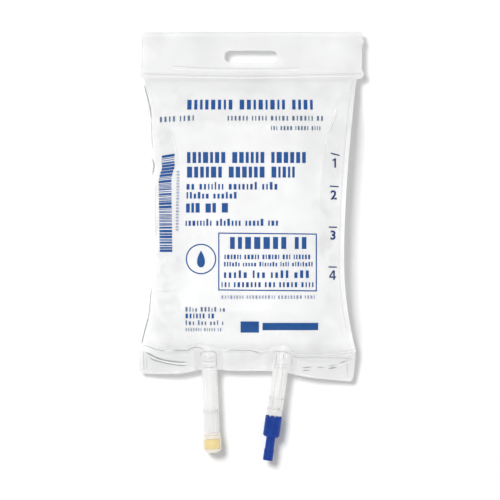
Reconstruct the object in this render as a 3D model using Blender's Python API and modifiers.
"""A 500 mL clear film fluid bag lying on its back, with its injection port and capped spike port.

Frame: metres, +Z up, +Y towards the hanger header, origin on the middle of the underside where
the filled chamber rests. Run with: blender --background --python part.py
"""

import math

import bmesh
import bpy
from mathutils import Matrix, Vector

MM = 0.001

# Pouch outline, seen from above
HEADER_WIDTH = 130.0 * MM
HEADER_LENGTH = 27.2 * MM
CHAMBER_LENGTH = 158.6 * MM
FOOT_SEAM_LENGTH = 11.8 * MM
SHOULDER_WIDTH = 124.0 * MM
WAIST_WIDTH = 111.6 * MM
FOOT_WIDTH = 127.0 * MM
WAIST_SHIFT = -20.0 * MM  # the narrowest place, from the chamber's middle
SIDE_SEAM_WIDTH = 2.2 * MM
CORNER_ROUND = 2.0 * MM
HEADER_STEP = 2.4 * MM  # length over which the outline steps in below the header
LEFT_CORNER_DROP = 2.4 * MM  # the foot's corners hang below its middle
RIGHT_CORNER_DROP = 6.4 * MM
LEAN = 0.0123  # sideways shift of the pouch for each length along it
SHOULDER_POWER = 1.8  # how late the sides flare towards the header
FOOT_POWER = 2.2  # how late they flare towards the foot

# Film, seams and fill
FILM_THICKNESS = 0.4 * MM
GAP = 0.3 * MM  # between neighbouring pieces
FILL_GAP = 0.35 * MM
CHAMBER_HEIGHT = 36.5 * MM
SIDE_SEAM_HEIGHT = 14.0 * MM  # at the chamber's middle
PORT_GROUND_CLEARANCE = 3.2 * MM  # under the film that is wrapped around a port tube
HEADER_SAG = 4.3 * MM  # how far the header's free edge hangs below its weld
CORNER_SAG = 2.6 * MM  # how far the foot's corners hang below the ports
CAVITY_EDGE = 0.05 * MM  # half the cavity's height along its welds
HEAD_RUN = 30.0 * MM  # length over which the upper film rises from the header weld
FOOT_RUN = 24.0 * MM
RISE_POWER = 1.9
BASE_RUN = 20.0 * MM  # length over which the lower film comes down to the ground
UPPER_SQUARENESS = 3.5  # superellipse exponents of the cross-section
LOWER_SQUARENESS = 3.2
PRESS = 2.6 * MM  # how far the lower film is pressed flat by the ground
WELD_RIDGE_HEIGHT = 0.35 * MM
WELD_RIDGE_WIDTH = 1.8 * MM
WELD_RIDGE_SETBACK = 2.2 * MM  # from the header weld up to the ridge's middle

# Hanger slot
SLOT_LENGTH = 31.0 * MM
SLOT_WIDTH = 6.9 * MM
SLOT_FROM_TOP = 14.0 * MM

# Ports: places at the foot weld, and angles from straight down, turned about +Z
PORT_TUBE_DIAMETER = 9.3 * MM
PORT_TUBE_WALL = 0.7 * MM
INJECTION_PORT_X = -22.8 * MM  # from the pouch's leaning middle line
INJECTION_PORT_TURN = math.radians(2.4)
INJECTION_TUBE_LENGTH = 48.3 * MM
SPIKE_PORT_X = 21.0 * MM
SPIKE_PORT_TURN = math.radians(-8.0)
SPIKE_TUBE_LENGTH = 35.2 * MM
PASSAGE_REACH = 2.0 * MM  # of the seam's sleeve into the chamber, before its round end
SLEEVE_EDGE_SETBACK = 0.5 * MM

# Injection site, pushed into its tube
SITE_SLEEVE_LENGTH = 13.0 * MM
SITE_SLEEVE_WALL = 0.8 * MM
CUP_WALL = 0.85 * MM
CUP_LENGTH = 11.3 * MM
CUP_FLOOR = 2.6 * MM
CUP_LIP = 0.7 * MM
CUP_LIP_REACH = 0.9 * MM  # over the septum's rim
CUP_CHAMFER = 1.3 * MM
SEPTUM_DIAMETER = 8.2 * MM
SEPTUM_CHAMFER = 0.5 * MM

# Spike port's inner tube, closed by a membrane
MEMBRANE_SLEEVE_LENGTH = 7.0 * MM
MEMBRANE_WALL = 0.5 * MM
MEMBRANE_THICKNESS = 0.5 * MM
FLANGE_THICKNESS = 1.8 * MM
NOSE_LENGTH = 13.0 * MM

# Pull-off cap
CAP_STANDOFF = 1.7 * MM  # from the flange to the cap's rim
CAP_WALL = 0.9 * MM
CAP_FLOOR = 0.8 * MM
CAP_CHAMFER = 0.8 * MM
TAIL_DIAMETER = 5.3 * MM
TAIL_END_DIAMETER = 5.8 * MM
TAIL_LENGTH = 13.9 * MM
TAIL_END_LENGTH = 6.4 * MM
TAIL_ROUND = 0.4 * MM
RIM_NOTCHES = 8
RIM_NOTCH_DEPTH = 1.0 * MM
RIM_NOTCH_WIDTH = 1.3 * MM

# Mesh fineness
COLUMNS = 24  # across the chamber
CHAMBER_ROWS = 26
ROUND_STEPS = 28
CAPSULE_STEPS = 24
CAPSULE_RINGS = 5

# Worked out from the sizes above
CHAMBER_HEAD = CHAMBER_LENGTH / 2
CHAMBER_FOOT = -CHAMBER_LENGTH / 2
HEADER_TOP = CHAMBER_HEAD + HEADER_LENGTH
FOOT_EDGE = CHAMBER_FOOT - FOOT_SEAM_LENGTH
PORT_BORE = PORT_TUBE_DIAMETER - 2 * PORT_TUBE_WALL
PLUG_DIAMETER = PORT_BORE - 2 * GAP  # of what is pushed into a port tube
PASSAGE_DIAMETER = PORT_TUBE_DIAMETER + 2 * GAP
SLEEVE_DIAMETER = PASSAGE_DIAMETER + 2 * FILM_THICKNESS
END_SEAM_HEIGHT = PORT_GROUND_CLEARANCE + SLEEVE_DIAMETER / 2  # at the header and foot welds
INJECTION_FLANGE = INJECTION_TUBE_LENGTH + GAP  # places along a port, from the foot weld
SPIKE_FLANGE = SPIKE_TUBE_LENGTH + GAP
SPIKE_NOSE = SPIKE_FLANGE + FLANGE_THICKNESS
SPIKE_NOSE_END = SPIKE_NOSE + NOSE_LENGTH
CAP_RIM = SPIKE_NOSE + CAP_STANDOFF
CAP_BORE = PLUG_DIAMETER + 2 * GAP
CAP_DIAMETER = CAP_BORE + 2 * CAP_WALL

COLLECTION = bpy.data.collections.new("iv_fluid_bag")
CUTTERS = bpy.data.collections.new("cutters")


def clear_scene():
    """Removes what the scene starts with, and links the two collections."""
    for thing in list(bpy.data.objects):
        bpy.data.objects.remove(thing, do_unlink=True)
    for collection in (COLLECTION, CUTTERS):
        bpy.context.scene.collection.children.link(collection)


def material(name, color, roughness, alpha=1.0, transmission=0.0):
    """A Principled material in one colour."""
    made = bpy.data.materials.new(name)
    made.use_nodes = True
    shader = made.node_tree.nodes["Principled BSDF"]
    shader.inputs["Base Color"].default_value = (*color, 1.0)
    shader.inputs["Roughness"].default_value = roughness
    shader.inputs["Metallic"].default_value = 0.0
    shader.inputs["Alpha"].default_value = alpha
    shader.inputs["Transmission Weight"].default_value = transmission
    made.diffuse_color = (*color, alpha)
    return made


def add_object(name, mesh, collection=None, finish=None):
    """Links a mesh as an object. Without a finish it is a cutter, shown as wire."""
    made = bpy.data.objects.new(name, mesh)
    (collection or COLLECTION).objects.link(made)
    if finish is None:
        made.hide_render = True
        made.display_type = "WIRE"
    else:
        mesh.materials.clear()
        mesh.materials.append(finish)
        mesh.shade_smooth()
        mesh.set_sharp_from_angle(angle=math.radians(35))
    return made


def mesh_from(name, build):
    """Makes a mesh from a bmesh that build fills, with its faces pointing out."""
    bm = bmesh.new()
    build(bm)
    bmesh.ops.recalc_face_normals(bm, faces=bm.faces)
    mesh = bpy.data.meshes.new(name)
    bm.to_mesh(mesh)
    bm.free()
    return mesh


# Shape of the pouch


def ramp(distance, run, power):
    """0 at a weld, 1 from run onwards, steepest at the weld."""
    share = min(max(distance / run, 0.0), 1.0)
    return 1.0 - (1.0 - share) ** power


def smooth(share):
    """0 to 1 with level ends."""
    share = min(max(share, 0.0), 1.0)
    return share * share * (3.0 - 2.0 * share)


def outline_half(y):
    """Half the pouch's width at y, before its corners are rounded."""
    waist = WAIST_WIDTH / 2
    if y >= CHAMBER_HEAD:
        step = smooth((y - CHAMBER_HEAD) / HEADER_STEP)
        return SHOULDER_WIDTH / 2 + (HEADER_WIDTH - SHOULDER_WIDTH) / 2 * step
    if y <= CHAMBER_FOOT:
        return FOOT_WIDTH / 2
    if y > WAIST_SHIFT:
        share = (y - WAIST_SHIFT) / (CHAMBER_HEAD - WAIST_SHIFT)
        return waist + (SHOULDER_WIDTH / 2 - waist) * share**SHOULDER_POWER
    share = (WAIST_SHIFT - y) / (WAIST_SHIFT - CHAMBER_FOOT)
    return waist + (FOOT_WIDTH / 2 - waist) * share**FOOT_POWER


def corner_cut(y):
    """How much the rounded corners take off each side at y."""
    from_end = min(HEADER_TOP - y, y - FOOT_EDGE)
    if from_end >= CORNER_ROUND:
        return 0.0
    rest = CORNER_ROUND - max(from_end, 0.0)
    return CORNER_ROUND - math.sqrt(CORNER_ROUND**2 - rest**2)


def seam_height(x, y):
    """Height of the welded seam's middle plane."""
    if y > CHAMBER_HEAD:
        return END_SEAM_HEIGHT - HEADER_SAG * ((y - CHAMBER_HEAD) / HEADER_LENGTH) ** 1.5
    if y < CHAMBER_FOOT:
        across = abs(x) / (FOOT_WIDTH / 2)
        down = (CHAMBER_FOOT - y) / FOOT_SEAM_LENGTH
        return END_SEAM_HEIGHT - CORNER_SAG * across**4 * smooth(down)
    along = y / (CHAMBER_LENGTH / 2)
    return END_SEAM_HEIGHT + (SIDE_SEAM_HEIGHT - END_SEAM_HEIGHT) * (1.0 - along**4)


def weld_ridge(y):
    """Extra half-thickness of the ridge that runs across above the header weld."""
    off = (y - CHAMBER_HEAD - WELD_RIDGE_SETBACK) / (WELD_RIDGE_WIDTH / 2)
    return WELD_RIDGE_HEIGHT * max(0.0, 1.0 - off * off)


def bulge(u, squareness):
    """Superellipse height over the chamber's half-width, 1 at its middle."""
    return max(0.0, 1.0 - abs(u) ** squareness) ** (1.0 / squareness)


def upper_rise(y, setback=0.0):
    """Height of the upper film over the seam's upper face, along the middle.

    Shapes inside the film start to rise a setback further in than the film itself.
    """
    full = CHAMBER_HEIGHT - FILM_THICKNESS - seam_height(0.0, y)
    head = ramp(CHAMBER_HEAD - setback - y, HEAD_RUN, RISE_POWER)
    return full * head * ramp(y - CHAMBER_FOOT - setback, FOOT_RUN, RISE_POWER)


def lower_drop(y, setback=0.0):
    """Depth of the lower film under the seam's lower face, before the ground presses it flat."""
    full = seam_height(0.0, y) - FILM_THICKNESS + PRESS
    head = ramp(CHAMBER_HEAD - setback - y, BASE_RUN, RISE_POWER)
    return full * head * ramp(y - CHAMBER_FOOT - setback, BASE_RUN, RISE_POWER)


def placed(x, y, z):
    """A point of the pouch with its lean and with the foot's corners hanging down."""
    if y < CHAMBER_FOOT:
        drop = RIGHT_CORNER_DROP if x > 0 else LEFT_CORNER_DROP
        across = abs(x) / (FOOT_WIDTH / 2)
        y -= drop * across**3 * (CHAMBER_FOOT - y) / FOOT_SEAM_LENGTH
    return Vector((x + LEAN * y, y, z))


def columns():
    """Places across the chamber from +1 to -1, closer together at its steep sides."""
    for k in range(COLUMNS + 1):
        turn = math.pi * k / COLUMNS
        share = math.copysign(abs(math.cos(turn)) ** (2.0 / UPPER_SQUARENESS), math.cos(turn))
        yield 0.0 if k * 2 == COLUMNS else share


def pouch_ring(y):
    """The film's outer section at y: upper points from +X to -X, and the lower ones under them."""
    root = outline_half(y) - SIDE_SEAM_WIDTH
    edge = outline_half(y) - corner_cut(y)
    half = FILM_THICKNESS + weld_ridge(y)
    inside = [(root * u, bulge(u, UPPER_SQUARENESS), bulge(u, LOWER_SQUARENESS)) for u in columns()]
    upper, lower = [], []
    for x, up, down in [(edge, 0.0, 0.0), *inside, (-edge, 0.0, 0.0)]:
        middle = seam_height(x, y)
        top = middle + half + upper_rise(y) * up
        bottom = max(0.0, middle - half - lower_drop(y) * down)
        upper.append(placed(x, y, top))
        lower.append(placed(x, y, bottom))
    return upper, lower


def inner_ring(y, inset):
    """Section at y of what lies inside the film: the cavity, or the fill when inset further."""
    root = outline_half(y) - SIDE_SEAM_WIDTH - FILM_THICKNESS - inset
    middle = seam_height(0.0, y)
    setback = FILM_THICKNESS + inset
    rise = max(0.0, upper_rise(y, setback) - inset)
    drop = max(0.0, lower_drop(y, setback) - inset)
    upper, lower = [], []
    for u in columns():
        top = middle + CAVITY_EDGE + rise * bulge(u, UPPER_SQUARENESS)
        bottom = middle - CAVITY_EDGE - drop * bulge(u, LOWER_SQUARENESS)
        upper.append(placed(root * u, y, top))
        lower.append(placed(root * u, y, max(FILM_THICKNESS + inset, bottom)))
    return upper, lower


def loft(name, rings):
    """One closed mesh through rings, each an upper and a lower row of as many points."""

    def build(bm):
        made = []
        for upper, lower in rings:
            made.append([[bm.verts.new(p) for p in row] for row in (upper, lower)])
        for (upper, lower), (upper_next, lower_next) in zip(made, made[1:]):
            for i in range(len(upper) - 1):
                bm.faces.new((upper[i], upper[i + 1], upper_next[i + 1], upper_next[i]))
                bm.faces.new((lower[i + 1], lower[i], lower_next[i], lower_next[i + 1]))
            for i in (0, -1):
                bm.faces.new((upper[i], upper_next[i], lower_next[i], lower[i]))
        for upper, lower in (made[0], made[-1]):
            for i in range(len(upper) - 1):
                bm.faces.new((upper[i], upper[i + 1], lower[i + 1], lower[i]))
        flat = [e for e in bm.edges if is_on_ground(e)]
        bmesh.ops.dissolve_edges(bm, edges=flat, use_verts=True)

    lowest = min(p.z for _, lower in rings for p in lower)

    def is_on_ground(edge):
        """Whether the edge lies between two faces that both lie on the ground."""
        points = [v.co.z for face in edge.link_faces for v in face.verts]
        return max(points) - lowest < 1e-7

    return mesh_from(name, build)


def chamber_rows(margin):
    """Places along the chamber, closer together at its ends."""
    reach = CHAMBER_LENGTH / 2 - margin
    return [reach * math.cos(math.pi * k / CHAMBER_ROWS) for k in range(CHAMBER_ROWS + 1)]


def header_rows():
    """Places along the header, from its top edge down to just above the weld."""
    ridge = CHAMBER_HEAD + WELD_RIDGE_SETBACK
    half = WELD_RIDGE_WIDTH / 2
    top = [HEADER_TOP - CORNER_ROUND * share for share in (0.0, 0.13, 0.5, 1.0)]
    last = top[-1]
    span = last - ridge - half
    middle = [last - span * share for share in (0.25, 0.5, 0.75)]
    return top + middle + [ridge + half, ridge + half / 2, ridge, ridge - half / 2, ridge - half]


def foot_rows():
    """Places along the foot seam, from just below the weld down to its edge."""
    last = FOOT_EDGE + CORNER_ROUND
    span = CHAMBER_FOOT - last
    seam = [CHAMBER_FOOT - span * share for share in (0.33, 0.67, 1.0)]
    return seam + [FOOT_EDGE + CORNER_ROUND * share for share in (0.5, 0.13, 0.0)]


# Tools for cutting and turning


def boolean(target, cutter, operation):
    """Adds a Boolean of target with cutter."""
    step = target.modifiers.new(f"{operation}_{cutter.name}", "BOOLEAN")
    step.operation = operation
    step.solver = "EXACT"
    step.object = cutter


def port_frame(x, turn):
    """Matrix of a port: its origin on the foot weld, and +Z out of the bag along its axis."""
    place = Matrix.Translation((x + LEAN * CHAMBER_FOOT, CHAMBER_FOOT, END_SEAM_HEIGHT))
    return place @ Matrix.Rotation(turn, 4, "Z") @ Matrix.Rotation(math.radians(90), 4, "X")


def capsule(name, radius, start, end, frame):
    """A cutter: a rod along a port's axis from start to end, with a round end at its start."""

    def build(bm):
        rings = []
        for k in range(1, CAPSULE_RINGS + 1):
            turn = math.pi / 2 * k / CAPSULE_RINGS
            rings.append((radius * math.sin(turn), start - radius * math.cos(turn)))
        rings.append((radius, end))
        rows = []
        for r, z in rings:
            angles = [2 * math.pi * k / CAPSULE_STEPS for k in range(CAPSULE_STEPS)]
            rows.append([bm.verts.new((r * math.cos(a), r * math.sin(a), z)) for a in angles])
        for row, below in zip(rows, rows[1:]):
            for k in range(CAPSULE_STEPS):
                j = (k + 1) % CAPSULE_STEPS
                bm.faces.new((row[k], row[j], below[j], below[k]))
        tip = bm.verts.new((0.0, 0.0, start - radius))
        for k in range(CAPSULE_STEPS):
            bm.faces.new((tip, rows[0][(k + 1) % CAPSULE_STEPS], rows[0][k]))
        bm.faces.new(rows[-1])

    made = add_object(name, mesh_from(name, build), CUTTERS)
    made.matrix_world = frame
    return made


def turned(name, profile, finish, parent):
    """A turned piece from its closed (radius, height) profile, which runs down its outer side."""
    mesh = bpy.data.meshes.new(name)
    points = [(r, 0.0, z) for r, z in profile]
    closed = profile[0][0] > 0.0 or profile[-1][0] > 0.0
    edges = [(k, k + 1) for k in range(len(points) - 1)]
    if closed:
        edges.append((len(points) - 1, 0))
    mesh.from_pydata(points, edges, [])
    made = add_object(name, mesh, COLLECTION, finish)
    made.parent = parent
    screw = made.modifiers.new("turn", "SCREW")
    screw.axis = "Z"
    screw.angle = 2 * math.pi
    screw.steps = ROUND_STEPS
    screw.render_steps = ROUND_STEPS
    screw.use_merge_vertices = True
    screw.merge_threshold = 0.00001
    screw.use_smooth_shade = True
    return made


# The pieces


def make_slot_cutter():
    """The hanger slot's cutter: a long hole with round ends, through the header."""
    half = SLOT_WIDTH / 2
    reach = SLOT_LENGTH / 2 - half
    steps = CAPSULE_STEPS // 2
    middle = HEADER_TOP - SLOT_FROM_TOP
    deep = END_SEAM_HEIGHT

    def build(bm):
        outline = []
        for side in (1, -1):
            for k in range(steps + 1):
                turn = math.pi * k / steps - math.pi / 2
                x = side * (reach + half * math.cos(turn))
                outline.append((x + LEAN * middle, middle + side * half * math.sin(turn)))
        base = bm.faces.new([bm.verts.new((x, y, 0.0)) for x, y in outline])
        grown = bmesh.ops.extrude_face_region(bm, geom=[base])
        lifted = [v for v in grown["geom"] if isinstance(v, bmesh.types.BMVert)]
        bmesh.ops.translate(bm, vec=(0.0, 0.0, 2 * deep), verts=lifted)

    return add_object("hanger_slot", mesh_from("hanger_slot", build), CUTTERS)


def make_bag_film(finish, frames):
    """The welded pouch, with its cavity, the hanger slot and the two passages for the ports."""
    rows = header_rows() + chamber_rows(0.0) + foot_rows()
    film = add_object("bag_film", loft("bag_film", [pouch_ring(y) for y in rows]), COLLECTION, finish)
    for name, frame in frames.items():
        end = FOOT_SEAM_LENGTH - SLEEVE_EDGE_SETBACK
        sleeve = capsule(f"{name}_sleeve", SLEEVE_DIAMETER / 2, -PASSAGE_REACH, end, frame)
        boolean(film, sleeve, "UNION")
    cavity_rings = [inner_ring(y, 0.0) for y in chamber_rows(FILM_THICKNESS)]
    boolean(film, add_object("cavity", loft("cavity", cavity_rings), CUTTERS), "DIFFERENCE")
    for name, frame in frames.items():
        end = FOOT_SEAM_LENGTH + RIGHT_CORNER_DROP
        passage = capsule(f"{name}_passage", PASSAGE_DIAMETER / 2, -PASSAGE_REACH, end, frame)
        boolean(film, passage, "DIFFERENCE")
    boolean(film, make_slot_cutter(), "DIFFERENCE")
    return film


def make_fluid_fill(finish):
    """The fluid, which fills the cavity."""
    margin = FILM_THICKNESS + 3 * FILL_GAP
    rings = [inner_ring(y, FILL_GAP) for y in chamber_rows(margin)]
    return add_object("fluid_fill", loft("fluid_fill", rings), COLLECTION, finish)


def make_port_tube(name, length, finish, parent):
    """A plain tube, from the foot weld outwards."""
    outer = PORT_TUBE_DIAMETER / 2
    inner = PORT_BORE / 2
    profile = [(outer, length), (outer, 0.0), (inner, 0.0), (inner, length)]
    return turned(name, profile, finish, parent)


def make_injection_site(finish, parent):
    """The sleeve inside the port tube, its cup, and the lip that holds the septum."""
    start = INJECTION_TUBE_LENGTH - SITE_SLEEVE_LENGTH
    flange = INJECTION_FLANGE
    floor = flange + CUP_FLOOR
    end = flange + CUP_LENGTH
    plug = PLUG_DIAMETER / 2
    bore = plug - SITE_SLEEVE_WALL
    pocket = SEPTUM_DIAMETER / 2 + GAP
    cup = pocket + CUP_WALL
    mouth = SEPTUM_DIAMETER / 2 - CUP_LIP_REACH
    profile = [
        (mouth, end),
        (cup - CUP_CHAMFER, end),
        (cup, end - CUP_CHAMFER),
        (cup, flange),
        (plug, flange),
        (plug, start),
        (bore, start),
        (bore, floor),
        (pocket, floor),
        (pocket, end - CUP_LIP),
        (mouth, end - CUP_LIP),
    ]
    return turned("injection_site_body", profile, finish, parent)


def make_septum(finish, parent):
    """The self-sealing plug between the cup's floor and its lip."""
    low = INJECTION_FLANGE + CUP_FLOOR + GAP
    high = INJECTION_FLANGE + CUP_LENGTH - CUP_LIP - GAP
    r = SEPTUM_DIAMETER / 2
    c = SEPTUM_CHAMFER
    profile = [(0.0, high), (r - c, high), (r, high - c), (r, low + c), (r - c, low), (0.0, low)]
    return turned("injection_septum", profile, finish, parent)


def make_membrane_tube(finish, parent):
    """The spike port's inner tube: sleeve, flange and nose, with a membrane across its bore."""
    start = SPIKE_TUBE_LENGTH - MEMBRANE_SLEEVE_LENGTH
    plug = PLUG_DIAMETER / 2
    bore = plug - MEMBRANE_WALL
    rim = PORT_TUBE_DIAMETER / 2
    membrane = SPIKE_NOSE + MEMBRANE_THICKNESS
    profile = [
        (0.0, membrane),
        (bore, membrane),
        (bore, SPIKE_NOSE_END),
        (plug, SPIKE_NOSE_END),
        (plug, SPIKE_NOSE),
        (rim, SPIKE_NOSE),
        (rim, SPIKE_FLANGE),
        (plug, SPIKE_FLANGE),
        (plug, start),
        (bore, start),
        (bore, SPIKE_NOSE),
        (0.0, SPIKE_NOSE),
    ]
    return turned("spike_membrane_tube", profile, finish, parent)


def make_cap(finish, parent):
    """The pull-off cap: a socket over the nose, a notched rim and a narrow tail."""
    socket = SPIKE_NOSE_END + GAP
    shoulder = socket + CAP_FLOOR
    end = shoulder + TAIL_LENGTH
    outer = CAP_DIAMETER / 2
    bore = CAP_BORE / 2
    tail = TAIL_DIAMETER / 2
    grip = TAIL_END_DIAMETER / 2
    profile = [
        (0.0, end),
        (grip - TAIL_ROUND, end),
        (grip, end - TAIL_ROUND),
        (grip, end - TAIL_END_LENGTH),
        (tail, end - TAIL_END_LENGTH - (grip - tail)),
        (tail, shoulder),
        (outer - CAP_CHAMFER, shoulder),
        (outer, shoulder - CAP_CHAMFER),
        (outer, CAP_RIM),
        (bore, CAP_RIM),
        (bore, socket),
        (0.0, socket),
    ]
    cap = turned("spike_cap", profile, finish, parent)
    notches = add_object("rim_notches", mesh_from("rim_notches", notch_blocks), CUTTERS)
    notches.parent = parent
    notches.location = (0.0, 0.0, CAP_RIM)
    boolean(cap, notches, "DIFFERENCE")
    return cap


def notch_blocks(bm):
    """Blocks around the cap's rim, each cutting one notch through its wall."""
    inner = CAP_BORE / 2 - GAP
    outer = CAP_DIAMETER / 2 + GAP
    for k in range(RIM_NOTCHES):
        size = Matrix.Diagonal((outer - inner, RIM_NOTCH_WIDTH, 2 * RIM_NOTCH_DEPTH, 1.0))
        place = Matrix.Translation(((outer + inner) / 2, 0.0, 0.0))
        turn = Matrix.Rotation(2 * math.pi * (k + 0.5) / RIM_NOTCHES, 4, "Z")
        bmesh.ops.create_cube(bm, size=1.0, matrix=turn @ place @ size)


def make_port_empty(name, frame):
    """The empty on a port's axis that its pieces hang from."""
    empty = bpy.data.objects.new(name, None)
    empty.empty_display_size = 10.0 * MM
    COLLECTION.objects.link(empty)
    empty.matrix_world = frame
    return empty


def main():
    clear_scene()
    film = material("clear_film", (0.86, 0.88, 0.90), 0.18, alpha=0.45)
    fluid = material("clear_fluid", (0.90, 0.94, 0.96), 0.02, alpha=0.55, transmission=0.6)
    tube = material("clear_tube", (0.85, 0.86, 0.85), 0.22, alpha=0.55)
    rubber = material("yellow_rubber", (0.82, 0.69, 0.31), 0.55)
    blue = material("blue_plastic", (0.019, 0.058, 0.314), 0.35)

    frames = {
        "injection_port": port_frame(INJECTION_PORT_X, INJECTION_PORT_TURN),
        "spike_port": port_frame(SPIKE_PORT_X, SPIKE_PORT_TURN),
    }
    make_bag_film(film, frames)
    make_fluid_fill(fluid)

    injection = make_port_empty("injection_port_axis", frames["injection_port"])
    make_port_tube("injection_port_tube", INJECTION_TUBE_LENGTH, tube, injection)
    make_injection_site(tube, injection)
    make_septum(rubber, injection)

    spike = make_port_empty("spike_port_axis", frames["spike_port"])
    make_port_tube("spike_port_tube", SPIKE_TUBE_LENGTH, tube, spike)
    make_membrane_tube(tube, spike)
    make_cap(blue, spike)


main()
